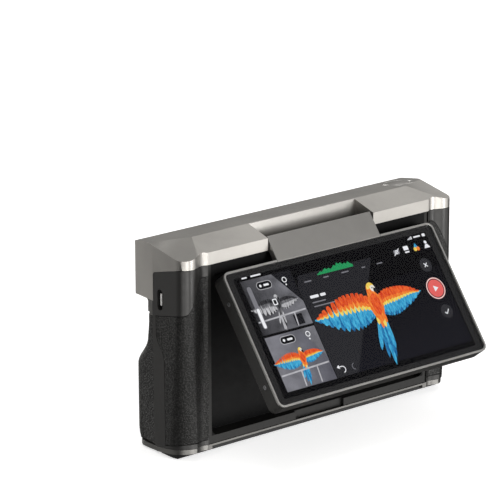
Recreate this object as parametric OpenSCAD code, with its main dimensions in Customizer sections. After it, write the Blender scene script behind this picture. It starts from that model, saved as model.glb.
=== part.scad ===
// Handheld 3D scanner with two side grips, a sensor bar and a flip-out screen.
// Millimetres. +X is the operator's right, +Y is where the sensors look, +Z is up.
// The origin is at the centre of the resting face of the base.

/* [Overall] */
// overall width across the grips
body_w = 196; // [150:1:240]
// overall height, base to ridge of the head
body_h = 118; // [100:1:140]
// y of the flat front of the sensor bar
bar_y = 19; // [14:0.5:24]
// y of the flat back of the body
back_y = -21.2; // [-24:0.1:-16]
// y of the recessed front cover
cover_y = 3; // [0:0.5:8]
// inward lean of each side towards the base
side_lean = 3.6; // [0:0.2:8]
// thickness of the outer skins
skin = 2.0; // [1.2:0.1:3]
// y of the foremost line of the grips
grip_front = 23.4; // [19:0.2:28]
// visible seam between skins
seam = 0.35; // [0.1:0.05:0.6]

/* [Sensor bar] */
// underside of the bar
bar_z = 85.2; // [80:0.5:92]
// height of the front top edge of the bar
brow_z = 114.5; // [110:0.5:118]
// half width of the bezel around the window
bezel_hw = 93.8; // [85:0.5:96]
// height of the bezel
bezel_h = 27.2; // [22:0.5:30]
// width of the bezel frame
bezel_f = 2.2; // [1:0.1:4]
// height of the camera line
cam_z = 98.8; // [92:0.2:104]
// camera distance from the middle, outer pair
far_x = 80.3; // [70:0.5:84]
// camera distance from the middle, inner pair
near_x = 41; // [34:0.5:50]
// place of the colour camera
rgb_x = -61; // [-70:0.5:-52]
// centre of the projector opening
proj_x = -2.5; // [-8:0.5:8]
// height of each light above and below the camera line
led_dz = 9; // [7:0.2:10]

/* [Screen] */
// tilt of the screen out of its pocket
tilt = 36.5; // [0:0.5:180]
// screen body width
scr_w = 151; // [130:1:160]
// screen body height
scr_h = 78; // [66:1:84]
// screen body thickness
scr_t = 9.5; // [6:0.5:12]
// radius of the screen corners
scr_r = 4; // [2:0.5:8]
// hinge line, y
hinge_y = -14.5; // [-16:0.5:-12]
// hinge line, z
hinge_z = 108.8; // [107:0.1:110]
// half width of the hinge plate
plate_hw = 37.2; // [30:0.1:46]
// distance from the hinge line to the screen body
drop = 12.8; // [10:0.1:18]

/* [Buttons and ports] */
// radius of the scan button
scan_r = 7.4; // [5:0.1:9]
// scan button centre, x
scan_x = 83; // [76:0.5:88]
// scan button centre, y
scan_y = 7.5; // [4:0.5:12]
// power button centre, y
power_y = -9.5; // [-12:0.5:-4]
// power button centre, z
power_z = 96.5; // [90:0.5:99]
// socket centre, y
usb_y = -3.4; // [-8:0.2:0]
// socket centre, z
usb_z = 87; // [80:0.5:94]

/* [Hidden] */
hx = body_w / 2;
ridge_y = -5.3;
rise = body_h - brow_z;
brow_a = atan(rise / (bar_y - ridge_y));
back_s = 0.305;
kink_x = 77.5;
out_y = -6.7;
plate_t = 3.5;
shell_z0 = 3.9;
cover_z1 = 84.9;
grip_z1 = 77;
pocket_hw = 77.2;
pocket_z0 = 11;
pocket_z1 = 100.4;
pocket_y = -11.4;
pad_x = 79.4;
col_r = 6.5;
col_y = -22.8;
glass_y = 18.3;
mask_y = 16.6;
bez_z0 = 85.2;
bez_zc = bez_z0 + bezel_h / 2;
cam_x = [far_x, -far_x, near_x, -near_x, rgb_x];
$fn = 48;

// points of an arc from a to b degrees
function arc(cx, cy, r, a, b, n) =
  [for (i = [0:n]) [cx + r * cos(a + (b - a) * i / n), cy + r * sin(a + (b - a) * i / n)]];

// outline of a rounded rectangle centred on c
function rr(cx, cy, w, h, r, n) = concat(
  arc(cx + w / 2 - r, cy + h / 2 - r, r, 0, 90, n),
  arc(cx - w / 2 + r, cy + h / 2 - r, r, 90, 180, n),
  arc(cx - w / 2 + r, cy - h / 2 + r, r, 180, 270, n),
  arc(cx + w / 2 - r, cy - h / 2 + r, r, 270, 360, n));

function mirrored(p) = [for (i = [len(p) - 1:-1:0]) [-p[i][0], p[i][1]]];

// shallow flute beside the rear column
function flute(i) = [for (k = [0:8]) [79.5 + 2.9 * k / 8,
  back_y + i + 1.2 * (1 - cos(180 * k / 8)) / 2]];
function swell(i) = [for (k = [1:12]) [82.4 + 9 * k / 12,
  (back_y + 1.2 + (col_y - back_y - 1.2) * (1 - cos(180 * k / 12)) / 2) + i]];

// right half of the rear plan outline, inset by i, closed at y = yc
function rear_half(i, yc) = concat(
  flute(i), swell(i),
  arc(hx - col_r, col_y + col_r, col_r - i, -80, 0, 8),
  [[hx - i, yc]]);

// right grip in plan, inset by i
function lobe(i, y0) = concat(
  [[hx - 0.4 - i, y0]],
  arc(86, grip_front - 11.5, 11.5 - i, 0, 90, 10),
  arc(76.6, grip_front - 10, 10 - i, 90, 165, 8),
  arc(57, 12, 9 + i, 0, -90, 6),
  [[57 - i, y0 + 0.0]]);

// front of the grip as a function of height
function grip_y(z) = z < 12 ? grip_front - 1.7 * pow((12 - z) / 8, 2)
  : z < 44 ? grip_front
  : grip_front - 13.8 * (1 - cos(180 * min(1, (z - 44) / 20))) / 2;

// prism along Z from a plan outline
module up(p, z0, z1) translate([0, 0, z0]) linear_extrude(z1 - z0) polygon(p);

// prism along Y from an outline in x and z, from y0 to y1
module fore(p, y0, y1) translate([0, y1, 0]) rotate([90, 0, 0]) linear_extrude(y1 - y0) polygon(p);

// prism along X from an outline in y and z, from x0 to x1
module across(p, x0, x1) translate([x0, 0, 0]) rotate([90, 0, 90]) linear_extrude(x1 - x0) polygon(p);

module box(x0, x1, y0, y1, z0, z1) translate([x0, y0, z0]) cube([x1 - x0, y1 - y0, z1 - z0]);

module rod_y(x, z, r, y0, y1) translate([x, y1, z]) rotate([90, 0, 0]) cylinder(r = r, h = y1 - y0);

// one level of the side walls: rear corners of radius r, front half narrower by n
module level(z, r, n, i) {
  half = concat(arc(hx - r - n / 9, col_y + r, r - i, -90, 0, 10),
    [[hx - i - n / 9, max(-8, col_y + r + 1)], [hx - n - i, 16], [hx - n - i, 40]]);
  up(concat(half, mirrored(half)), z, z + 0.01);
}

// side walls: upright at the top, drawn in at the front and rounder behind towards the base
module lean(i) {
  hull() {
    level(-1, 14, side_lean, i);
    level(78, col_r, 0, i);
  }
  hull() {
    level(78, col_r, 0, i);
    level(125, col_r, 0, i);
  }
}

// side view of the line between head and body, grown by g; it rises towards the back
module under_head(g) {
  translate([-120, 0, 0]) rotate([90, 0, 90]) linear_extrude(240) offset(delta = g)
    offset(r = 1.8) offset(delta = -1.8)
      polygon([[-60, 40], [2.2, 40], [2.2, 100.9], [-19.5, 106.3], [-60, 106.3]]);
}

// everything under the line between body and base, lowered by g; it rises towards the back
module low(g) across([[-60, -5], [60, -5], [60, 3.75 - g], [3, 3.75 - g], [-30, 7.9 - g], [-60, 7.9 - g]],
  -120, 120);

// what is cut from the rear lower edge
module belly(g) across([[-60, -5], [-12.8 + g, -5], [-12.8 + g, 0], [-26, 6.2 + g], [-60, 6.2 + g]], -120, 120);

module rear_plan(i, yc, z0, z1)
  up(concat(rear_half(i, yc), mirrored(rear_half(i, yc))), z0, z1);

module each_side() { children(); mirror([1, 0, 0]) children(); }

/* ---- sensor bar ---- */
module head_plan(i) up(concat(
  [[0, back_y + i]], rear_half(i, 2.5), [[hx - 1.7 - i, bar_y]],
  [[-(hx - 1.7 - i), bar_y]], mirrored(rear_half(i, 2.5))), bar_z, body_h + 4);

// everything under the three sloping top faces
module roof(i) {
  across([[-30, 60], [40, 60], [40, brow_z - i - rise * (40 - bar_y) / (bar_y - ridge_y)],
    [ridge_y, body_h - i], [-30, body_h - i - back_s * (ridge_y + 30)]], -110, 110);
}

module corner_slope() {
  // removes what lies above the plane through the ridge kink and the two side corners
  n = [0.19, -0.2, 1];
  m = norm(n);
  translate([kink_x, ridge_y, body_h]) rotate([0, acos(1 / m), atan2(n[1], n[0])])
    translate([-60, -60, 0]) cube([120, 120, 30]);
}

module notch_cut() across([[-40, 105.2], [-7.2, 105.2], [-7.2, 112], [ridge_y - 0.5, body_h],
  [ridge_y - 0.5, 130], [-40, 130]], -(plate_hw + 0.9), plate_hw + 0.9);

module scan_frame() translate([scan_x, scan_y, brow_z + rise * (bar_y - scan_y) / (bar_y - ridge_y)])
  rotate([-brow_a, 0, 0]) children();

module head_shell() color([0.56, 0.55, 0.53]) difference() {
  intersection() {
    difference() {
      head_plan(0);
      under_head(0.1);
    }
    roof(0);
  }
  each_side() corner_slope();
  notch_cut();
  // window opening and the space for the optics
  box(-95, 95, 3.8, 40, 80, 113.2);
  box(-94.4, 94.4, -2, 3.9, 80, 112.6);
  each_side() box(40.2, 94.4, -12.2, 3.9, 100, 109.2);
  each_side() box(40.2, 46.2, -16.7, -11.8, 100, 110.8);
  each_side() box(48.5, 94.4, -15, 3.9, 100, 108.4);
  each_side() rod_x(hinge_y, hinge_z, 1.35, 38, 41);
  // scan button well
  scan_frame() translate([0, 0, -3.4]) cylinder(r = scan_r + 1.25, h = 6);
  scan_frame() translate([0, 0, -9]) cylinder(r = scan_r + 1.25, h = 5.6);
}

module window_bezel() color([0.68, 0.67, 0.65]) difference() {
  fore(rr(0, bez_zc, 2 * bezel_hw, bezel_h, 2.4, 6), 14.4, bar_y);
  fore(rr(0, bez_zc, 2 * (bezel_hw - bezel_f), bezel_h - 2 * bezel_f + 0.4, 3, 6), 10, 25);
}

module window_glass() color([0.35, 0.38, 0.40, 0.35]) difference() {
  fore(rr(0, bez_zc, 2 * (bezel_hw - bezel_f) - 0.1, bezel_h - 2 * bezel_f + 0.3, 2.95, 6),
    mask_y + 0.1, glass_y);
  fore(rr(proj_x, cam_z, 23.7, 17.9, 4, 6), 10, 25);
}

module window_mask() color([0.03, 0.03, 0.035]) difference() {
  fore(rr(0, bez_zc, 2 * (bezel_hw - bezel_f) - 0.1, bezel_h - 2 * bezel_f + 0.3, 2.95, 6),
    15.7, mask_y);
  fore(rr(proj_x, cam_z, 23.7, 17.9, 4, 6), 10, 25);
  for (s = [-1, 1]) rod_y(s * far_x, cam_z, 5.7, 10, 25);
  for (s = [-1, 1]) fore(rr(s * near_x, cam_z, 7.4, 8.4, 2.2, 5), 10, 25);
  rod_y(rgb_x, cam_z, 4.1, 10, 25);
  for (x = cam_x) for (s = [-1, 1]) rod_y(x, cam_z + s * led_dz, 1.75, 10, 25);
}

module projector_hood() color([0.09, 0.09, 0.10]) difference() {
  fore(rr(proj_x, cam_z, 23.4, 17.6, 3.9, 6), 8.6, 18.4);
  for (k = [0:4]) fore(rr(proj_x, cam_z, 21.8 - 2.3 * k, 16.2 - 1.5 * k, 3.4 - 0.4 * k, 5),
    16.9 - 1.6 * k, 20);
  fore(rr(proj_x, cam_z, 9.4, 9, 1.4, 5), 8, 20);
}

module projector_lens() color([0.25, 0.30, 0.45, 0.6]) translate([proj_x, 8.4, cam_z]) {
  rotate([-90, 0, 0]) rotate_extrude() polygon(concat([[0, -2.6], [4.1, -2.6]],
    arc(0, -5.2, 6.67, 52, 90, 8)));
}

module projector_module() color([0.15, 0.15, 0.16]) difference() {
  box(proj_x - 12, proj_x + 12, -1.6, 8.4, 89.6, 108.6);
  rod_y(proj_x, cam_z, 4.3, 5.4, 9);
}

module optical_bench() color([0.62, 0.62, 0.64]) difference() {
  for (s = [-1, 1]) box(s > 0 ? 12 : -92, s > 0 ? 92 : -17, 4.4, 5.9, 89, 108);
  for (x = cam_x) rod_y(x, cam_z, 2.4, 0, 12);
}

module barrel(x, r, bore, y1) difference() {
  rod_y(x, cam_z, r, 6, y1);
  rod_y(x, cam_z, bore, 11, 20);
  rod_y(x, cam_z, bore - 1.1, 9.6, 12);
}

module lens(x, r, y) translate([x, y, cam_z]) rotate([-90, 0, 0]) rotate_extrude()
  polygon(concat([[0, -1.4], [r, -1.4], [r, 0]], arc(0, -1.5 * r, 1.8 * r, 57, 90, 7)));

module far_camera_barrels() color([0.35, 0.35, 0.37]) for (s = [-1, 1])
  barrel(s * far_x, 5.5, 4.6, 15.5);

module far_camera_lenses() color([0.92, 0.88, 0.60, 0.7]) for (s = [-1, 1])
  lens(s * far_x, 4.4, 12.5);

module near_camera_barrels() color([0.12, 0.12, 0.13]) for (s = [-1, 1])
  barrel(s * near_x, 4.9, 3.9, 15.5);

module near_camera_lenses() color([0.25, 0.62, 0.50, 0.7]) for (s = [-1, 1])
  lens(s * near_x, 3.7, 12.5);

module colour_camera_barrel() color([0.10, 0.10, 0.11]) barrel(rgb_x, 4.4, 3.6, 15.5);

module colour_camera_lens() color([0.15, 0.16, 0.20, 0.7]) lens(rgb_x, 3.4, 12.5);

module light_boards() color([0.08, 0.20, 0.12]) for (s = [-1, 1]) difference() {
  box(-90, 90, 13, 14, cam_z + s * led_dz - 2.2, cam_z + s * led_dz + 2.2);
  box(proj_x - 12.4, proj_x + 12.4, 10, 20, cam_z - 9.4, cam_z + 9.4);
}

module light_domes() color([0.97, 0.97, 0.95]) for (x = cam_x) for (s = [-1, 1])
  translate([x, 14, cam_z + s * led_dz]) rotate([-90, 0, 0])
    rotate_extrude($fn = 24) polygon(concat([[0, 0], [1.5, 0], [1.5, 0.6]], arc(0, 0.6, 1.5, 20, 90, 5)));

/* ---- body ---- */
module rear_shell() color([0.13, 0.13, 0.13]) difference() {
  intersection() {
    union() {
      rear_plan(skin + seam, 0.8, shell_z0, 112);
      box(-pad_x, pad_x, back_y, 0.8, shell_z0, 112);
    }
    lean(skin + seam);
    union() {
      under_head(-0.1);
      box(-120, 120, -40, 0.9, 0, 60);
    }
  }
  low(-0.15);
  box(-(plate_hw + 1.1), plate_hw + 1.1, -40, 5, 103.6, 113);
  // screen pocket
  fore(rr(0, (pocket_z0 + pocket_z1) / 2, 2 * pocket_hw, pocket_z1 - pocket_z0, 4.5, 6), -40, pocket_y);
  box(-(plate_hw + 1.1), plate_hw + 1.1, -40, -17, 96, 113);
  // finger notch in the bottom rail
  fore(rr(0, 9, 35, 12, 2, 4), -40, back_y + 2.6);
  // space for the boards
  box(-88, 88, pocket_y + 1.8, 5, 7, 96.6);
  box(-40, 40, -13.6, 5, 101.4, 110);
  each_side() box(40.1, 46.3, -16.9, 5, 104.7, 113);
  box(proj_x - 14, proj_x + 14, -2, 5, 96, 102);
  each_side() box(46, 92, -14, 5, 96.4, 110);
  each_side() box(81.2, 92.6, -14.6, 5, 7, 97);
  each_side() box(88, 99, -5.8, -1, 79, 95);
  box(90, 99, -13.6, -5.8, 91, 102);
  translate([0, -7, 0]) cylinder(r = 5.2, h = 12);
}

module cover_shape(i) {
  box(-(hx - 4), hx - 4, cover_y - skin, cover_y, shell_z0, cover_z1);
  each_side() intersection() {
    up(lobe(i, cover_y - 0.1), grip_z1 + seam, cover_z1);
    box(40, 110, 0, 9.4, 0, 120);
  }
}

module core(i) each_side() box(70 + i, 92.4 - i, cover_y - 0.1 - i, 18.6 - i, 7.5 + i, 47 - i);

module front_cover() color([0.28, 0.28, 0.27]) difference() {
  intersection() {
    union() {
      cover_shape(0.4);
      core(0);
    }
    lean(skin + seam);
  }
  core(1.6);
  each_side() box(71.6, 90.8, 0, 4, 9.1, 45.4);
}

module front_grip() color([0.08, 0.08, 0.08]) difference() {
  intersection() {
    union() {
      up(lobe(0, 0), shell_z0, grip_z1);
      // flat edge of the pad on the cover
      fore([[66, 9.5], [52, 11], [49.8, 15], [49.8, 50], [51.2, 56.5], [55.4, 66], [56.2, 70],
        [56.2, grip_z1], [70, grip_z1]], cover_y, cover_y + 0.9);
    }
    across(concat([[cover_y + 0.1, shell_z0]],
      [for (z = [shell_z0:3.05:grip_z1 + 0.1]) [grip_y(z), z]], [[cover_y + 0.1, grip_z1]]), 40, 110);
    lean(0.2);
  }
  box(69.9, 92.5, 0, 18.7, 7.4, 47.1);
}

module front_grip_right() front_grip();

module front_grip_left() mirror([1, 0, 0]) front_grip();

// side region of the outer skin, right side
module leaned_skin() intersection() {
  difference() {
    union() {
      intersection() {
        rear_plan(0, 2.4, 41, 112);
        under_head(-0.1);
      }
      rear_plan(0, cover_y - 0.15, shell_z0, cover_z1);
    }
    low(-0.15);
    intersection() {
      rear_plan(skin, 6, 0, 200);
      lean(skin);
    }
  }
  box(pad_x + 0.2, 120, -40, 40, 0, 200);
  lean(0);
}

// textured region of the side skin, grown by g; its edges rise towards the back
module pad_region(g) intersection() {
  multmatrix([[1, 0, 0, 0], [0, 1, 0, 0], [0, -0.2, 1, 0]])
    fore(concat([[60, 5.4 - g], [110, 5.4 - g], [110, 77.4 + g]],
      [for (k = [0:10]) [95.5 - 12.5 * k / 10, 77.4 + g + 18.6 * (1 - cos(180 * k / 10)) / 2]],
      [[60, 96 + g]]), -50, 50);
  across([[-50, 0], [-6.5 + g, 0], [-6.5 + g, 54], [-5.2 + g, 58], [-1.4 + g, 63],
    [0 + g, 67], [0 + g, 120], [-50, 120]], 0, 120);
}

module side_panel() color([0.17, 0.17, 0.17]) difference() {
  leaned_skin();
  pad_region(seam / 2);
}

module side_panel_right() color([0.17, 0.17, 0.17]) difference() {
  side_panel();
  across(rr(power_y, power_z, 5.6, 7.8, 1.4, 4), 60, 120);
}

module side_panel_left() color([0.17, 0.17, 0.17]) mirror([1, 0, 0]) difference() {
  side_panel();
  across(rr(usb_y, usb_z, 4.2, 11.4, 2.05, 8), 60, 120);
}

module rear_grip_right() color([0.10, 0.10, 0.10]) intersection() {
  leaned_skin();
  pad_region(-seam / 2);
}

module rear_grip_left() color([0.10, 0.10, 0.10]) mirror([1, 0, 0]) intersection() {
  leaned_skin();
  pad_region(-seam / 2);
}

// footprint of the whole body, inset by i
module foot(i, z0, z1) intersection() {
  union() {
    rear_plan(i, cover_y - i, z0, z1);
    box(-80, 80, back_y + i, cover_y - i, z0, z1);
    each_side() up(concat([[60, -5]], [[hx - 0.4 - i, -5]], lobe(i + 1, 0)), z0, z1);
  }
  lean(i);
}

module base_plate() color([0.10, 0.10, 0.10]) difference() {
  intersection() {
    foot(2.4, 0, 12);
    low(0.15);
  }
  belly(0);
  translate([0, -7, -1]) cylinder(r = 5.2, h = 9);
  for (x = [-82, 82]) for (y = [-9, 9]) translate([x, y, -0.1]) {
    cylinder(r = 2.6, h = 1.7);
    cylinder(r = 1.25, h = 6);
  }
}

module base_trim() color([0.60, 0.59, 0.57]) difference() {
  intersection() {
    foot(0.5, 0.9, 12);
    low(0.15);
  }
  foot(2.2, 0, 14);
  low(2.85);
  belly(0);
  // thinner along the back, between the columns
  intersection() {
    box(-77, 77, -40, 0, 0, 12);
    low(1.2);
  }
}

module base_screws() color([0.35, 0.35, 0.36]) for (x = [-82, 82]) for (y = [-9, 9])
  translate([x, y, 0.3]) difference() {
    union() {
      cylinder(r = 2.45, h = 1.2);
      cylinder(r = 1.15, h = 3.3);
    }
    translate([0, 0, -0.1]) cylinder(r = 1.1, h = 0.8, $fn = 6);
  }

module tripod_insert() color([0.72, 0.62, 0.35]) translate([0, -7, 0.1]) difference() {
  cylinder(r = 5, h = 8.6);
  translate([0, 0, -1]) cylinder(r = 3.175, h = 9);
}

module battery() color([0.20, 0.32, 0.50]) box(72, 90.4, 1.2, 16.7, 9.6, 44.8);

module battery_right() battery();

module battery_left() mirror([1, 0, 0]) battery();

module mainboard() color([0.05, 0.22, 0.12]) {
  difference() {
    box(-64, 64, -3.4, -2.2, 14, 90);
    for (x = [-60, 60]) for (z = [18, 86]) rod_y(x, z, 1.6, -6, 3);
  }
  box(-16, 8, -2.2, -0.6, 44, 68);
  box(16, 30, -2.2, -1, 40, 56);
  box(16, 30, -2.2, -1, 60, 76);
}

module heat_spreader() color([0.72, 0.72, 0.73]) difference() {
  box(-58, 58, -7.4, -5.6, 16, 88);
  for (z = [24:8:80]) box(-50, 50, -8, -6.4, z, z + 3);
}

module usb_shell() color([0.75, 0.75, 0.76]) difference() {
  across(rr(usb_y, usb_z, 3.6, 9.4, 1.75, 8), -96.4, -88.6);
  across(rr(usb_y, usb_z, 2.9, 8.7, 1.4, 8), -99, -89.4);
}

module usb_tongue() color([0.85, 0.84, 0.82]) box(-97.2, -89.4, usb_y - 0.35, usb_y + 0.35,
  usb_z - 3.3, usb_z + 3.3);

/* ---- buttons ---- */
module scan_button() color([0.50, 0.49, 0.47]) scan_frame() {
  translate([0, 0, -2.5]) rotate_extrude() polygon(concat([[0, 0], [scan_r, 0], [scan_r, 2.4]],
    arc(0, -55.3, 58.35, 83.0, 90, 6)));
  translate([0, 0, -4.6]) cylinder(r = 3, h = 2.2);
}

module scan_ring() color([0.82, 0.81, 0.79]) scan_frame() translate([0, 0, -2.2]) difference() {
  cylinder(r = scan_r + 1.15, h = 2.3);
  translate([0, 0, -1]) cylinder(r = scan_r + 0.2, h = 6);
}

module scan_switch() color([0.20, 0.20, 0.21]) scan_frame() translate([0, 0, -8.2])
  cylinder(r = 2.6, h = 2.6);

module power_button() color([0.62, 0.61, 0.59]) {
  across(rr(power_y, power_z, 5.2, 7.4, 1.25, 4), 95.4, hx + 0.4);
}

module power_switch() color([0.20, 0.20, 0.21]) box(91.2, 94.4, power_y - 1.6, power_y + 1.6,
  power_z - 2, power_z + 2);

/* ---- hinge and screen ---- */
module on_hinge() translate([0, hinge_y, hinge_z]) rotate([-tilt, 0, 0]) children();

module rod_x(y, z, r, x0, x1) translate([x0, y, z]) rotate([0, 90, 0]) cylinder(r = r, h = x1 - x0);

module hinge_brackets() color([0.55, 0.55, 0.57]) each_side() difference() {
  box(40.4, 46, -16.5, -12, 105, 110.6);
  rod_x(hinge_y, hinge_z, 1.25, 30, 60);
}

module hinge_pins() color([0.78, 0.78, 0.80]) each_side()
  rod_x(hinge_y, hinge_z, 1.24, 33.2, 45.6);

module hinge_plate() color([0.56, 0.55, 0.53]) on_hinge() difference() {
  union() {
    rod_x(0, 0, 2.6, -plate_hw, plate_hw);
    box(-plate_hw, plate_hw, out_y + 0.5, 0, -2.5, 0.6);
    box(-plate_hw, plate_hw, out_y, out_y + plate_t, -drop + 0.1, 1.1);
    box(-plate_hw, plate_hw, out_y, out_y + 1.15, -drop - 1.2, -drop + 0.2);
  }
  each_side() rod_x(0, 0, 1.3, 33, 60);
}

module scr_plan(i, y0, y1) fore(rr(0, -drop - scr_h / 2, scr_w - 2 * i, scr_h - 2 * i, scr_r - i, 6), y0, y1);

module screen_housing() color([0.20, 0.20, 0.20]) on_hinge() difference() {
  scr_plan(0, out_y + 1.3, out_y + scr_t);
  scr_plan(2, out_y + 0.5, out_y + scr_t - 1.6);
  for (s = [-1, 1]) for (z = [-drop - 16, -drop - 64]) rod_x(out_y + 5.2, z, 1.3,
    s > 0 ? scr_w / 2 - 1.2 : -scr_w / 2 - 1, s > 0 ? scr_w / 2 + 1 : -scr_w / 2 + 1.2);
}

module screen_rim() color([0.72, 0.71, 0.69]) on_hinge() difference() {
  scr_plan(0, out_y, out_y + 1.2);
  scr_plan(1.1, out_y - 1, out_y + 3);
  box(-plate_hw - 0.15, plate_hw + 0.15, out_y - 1, out_y + 3, -drop - 1.3, 0);
}

module screen_glass() color([0.02, 0.02, 0.025, 0.6]) on_hinge() difference() {
  scr_plan(1.2, out_y + 0.1, out_y + 1.2);
  box(-plate_hw - 0.15, plate_hw + 0.15, out_y - 1, out_y + 3, -drop - 1.3, 0);
}

module display_panel() color([0.05, 0.08, 0.12]) on_hinge()
  fore(rr(0, -drop - scr_h / 2, 141, 71, 1.2, 4), out_y + 1.35, out_y + 3.2);

module screen_board() color([0.05, 0.22, 0.12]) on_hinge()
  box(-50, 50, out_y + 4.4, out_y + 5.6, -drop - 70, -drop - 12);

module screen_side_screws() color([0.10, 0.10, 0.11]) on_hinge()
  for (s = [-1, 1]) for (z = [-drop - 16, -drop - 64]) difference() {
    rod_x(out_y + 5.2, z, 1.2, s > 0 ? scr_w / 2 - 1.15 : -scr_w / 2 + 0.1,
      s > 0 ? scr_w / 2 - 0.1 : -scr_w / 2 + 1.15);
    translate([s * scr_w / 2, out_y + 5.2, z]) cube([1.2, 0.4, 1.4], center = true);
  }

head_shell();
window_bezel();
window_glass();
window_mask();
projector_hood();
projector_lens();
projector_module();
optical_bench();
far_camera_barrels();
far_camera_lenses();
near_camera_barrels();
near_camera_lenses();
colour_camera_barrel();
colour_camera_lens();
light_boards();
light_domes();
rear_shell();
front_cover();
side_panel_right();
side_panel_left();
front_grip_right();
front_grip_left();
rear_grip_right();
rear_grip_left();
base_plate();
base_trim();
base_screws();
tripod_insert();
battery_right();
battery_left();
mainboard();
heat_spreader();
usb_shell();
usb_tongue();
scan_button();
scan_ring();
scan_switch();
power_button();
power_switch();
hinge_brackets();
hinge_pins();
hinge_plate();
screen_housing();
screen_rim();
screen_glass();
display_panel();
screen_board();
screen_side_screws();
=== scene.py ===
"""Looks of the handheld 3D scanner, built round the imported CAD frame.

Everything is in metres in the CAD frame: +X is the operator's right, +Y is where the sensors look, +Z is up.
Lengths below are written in millimetres and multiplied by MM where they reach Blender.
"""

import math

import bmesh
import bpy
from mathutils import Matrix, Vector

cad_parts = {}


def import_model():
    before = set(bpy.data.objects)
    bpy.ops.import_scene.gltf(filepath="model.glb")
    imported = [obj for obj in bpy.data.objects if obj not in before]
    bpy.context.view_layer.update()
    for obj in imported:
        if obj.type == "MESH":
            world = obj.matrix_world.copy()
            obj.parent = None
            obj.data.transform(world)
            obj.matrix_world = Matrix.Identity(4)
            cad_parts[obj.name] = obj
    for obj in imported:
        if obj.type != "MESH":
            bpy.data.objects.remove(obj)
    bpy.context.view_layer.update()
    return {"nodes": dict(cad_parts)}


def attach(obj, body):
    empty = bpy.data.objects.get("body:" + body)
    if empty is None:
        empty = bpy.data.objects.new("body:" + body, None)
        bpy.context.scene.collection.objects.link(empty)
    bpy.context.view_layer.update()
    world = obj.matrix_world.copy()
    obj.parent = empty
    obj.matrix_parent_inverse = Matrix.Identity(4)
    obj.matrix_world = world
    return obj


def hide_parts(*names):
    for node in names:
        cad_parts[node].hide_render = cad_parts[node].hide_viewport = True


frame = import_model()
NODES = frame["nodes"]
MM = 0.001
METALNESS = 0.85
EDGE_ANGLE = 28          # degrees: edges sharper than this are rounded on kept CAD nodes
FLAT_ANGLE = 0.6         # degrees: faces closer than this count as one flat face


# ---------------------------------------------------------------- materials

def shade(colour, share, lift=0.0):
    """A colour made darker or lighter, kept within 0 to 1."""
    return tuple(min(1, c * share + lift) for c in colour)


class Shader:
    """Strings shader nodes together for one material."""

    def __init__(self, name):
        self.mat = bpy.data.materials.new(name)
        self.mat.use_nodes = True
        self.tree = self.mat.node_tree
        self.tree.nodes.clear()
        self.out = self.tree.nodes.new("ShaderNodeOutputMaterial")
        self.place = self.node("ShaderNodeTexCoord").outputs["Object"]

    def node(self, kind, props=None, **values):
        n = self.tree.nodes.new(kind)
        for key, value in (props or {}).items():
            setattr(n, key, value)
        for key, value in values.items():
            self.put(n.inputs[key.replace("_", " ")], value)
        return n

    def put(self, socket, value):
        if isinstance(value, bpy.types.NodeSocket):
            self.tree.links.new(value, socket)
        elif isinstance(value, (tuple, list)) and len(value) == 3 and socket.type == "RGBA":
            socket.default_value = (*value, 1)
        else:
            socket.default_value = value

    def noise(self, scale, detail=2.0, rough=0.5, at=None):
        n = self.node("ShaderNodeTexNoise", Vector=at or self.place, Scale=scale, Detail=detail,
                      Roughness=rough)
        return n.outputs["Fac"]

    def stretch(self, x, y, z):
        """Coordinates scaled apart, so that grain runs one way."""
        n = self.node("ShaderNodeMapping", Vector=self.place)
        n.inputs["Scale"].default_value = (x, y, z)
        return n.outputs["Vector"]

    def ramp(self, fac, low, high, out_low=0.0, out_high=1.0):
        n = self.node("ShaderNodeMapRange", Value=fac)
        for i, v in zip((1, 2, 3, 4), (low, high, out_low, out_high)):
            n.inputs[i].default_value = v
        return n.outputs["Result"]

    def math(self, op, a, b=0.0):
        n = self.node("ShaderNodeMath", {"operation": op})
        self.put(n.inputs[0], a)
        self.put(n.inputs[1], b)
        return n.outputs[0]

    def mix(self, fac, a, b):
        n = self.node("ShaderNodeMix", {"data_type": "RGBA"})
        self.put(n.inputs[0], fac)
        self.put(n.inputs[6], a)
        self.put(n.inputs[7], b)
        return n.outputs[2]

    def bump(self, height, strength, depth):
        n = self.node("ShaderNodeBump", Height=height, Strength=strength, Distance=depth * MM)
        return n.outputs["Normal"]

    def soft_edges(self, radius):
        n = self.node("ShaderNodeBevel", {"samples": 6})
        n.inputs["Radius"].default_value = radius * MM
        return n.outputs["Normal"]

    def edge_highlight_mask(self, radius, gain):
        """Near 1 along sharp edges, 0 on open faces."""
        geo = self.node("ShaderNodeNewGeometry").outputs["Normal"]
        dot = self.node("ShaderNodeVectorMath", {"operation": "DOT_PRODUCT"})
        self.put(dot.inputs[0], geo)
        self.put(dot.inputs[1], self.soft_edges(radius))
        return self.ramp(dot.outputs["Value"], 1.0, 1.0 - gain)

    def surface(self, shader):
        self.tree.links.new(shader, self.out.inputs["Surface"])
        return self.mat

    def principled(self, **values):
        n = self.node("ShaderNodeBsdfPrincipled")
        for key, value in values.items():
            self.put(n.inputs[key.replace("_", " ")], value)
        return self.surface(n.outputs["BSDF"])


def metal(name, colour, rough=0.36, grain=3800, depth=0.015, edge=0.0):
    """Bead-blasted, anodised metal; with edge set, its colour is painted lighter along sharp edges as a
    highlight.
    """
    s = Shader(name)
    cloud = s.noise(35, 3)
    speck = s.noise(grain, 2, 0.6)
    tint = s.mix(s.ramp(cloud, 0.35, 0.65), shade(colour, 0.93), shade(colour, 1.07))
    if edge:
        # painted highlight: the colour turns lighter along sharp edges
        tint = s.mix(s.math("MULTIPLY", s.edge_highlight_mask(0.4, 0.25), edge), tint, shade(colour, 1.5, 0.05))
    roughness = s.ramp(s.noise(420, 4, 0.7), 0.3, 0.7, rough - 0.04, rough + 0.05)
    return s.principled(Base_Color=tint, Metallic=METALNESS, Roughness=roughness,
                        Normal=s.bump(speck, 0.12, depth))


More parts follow.
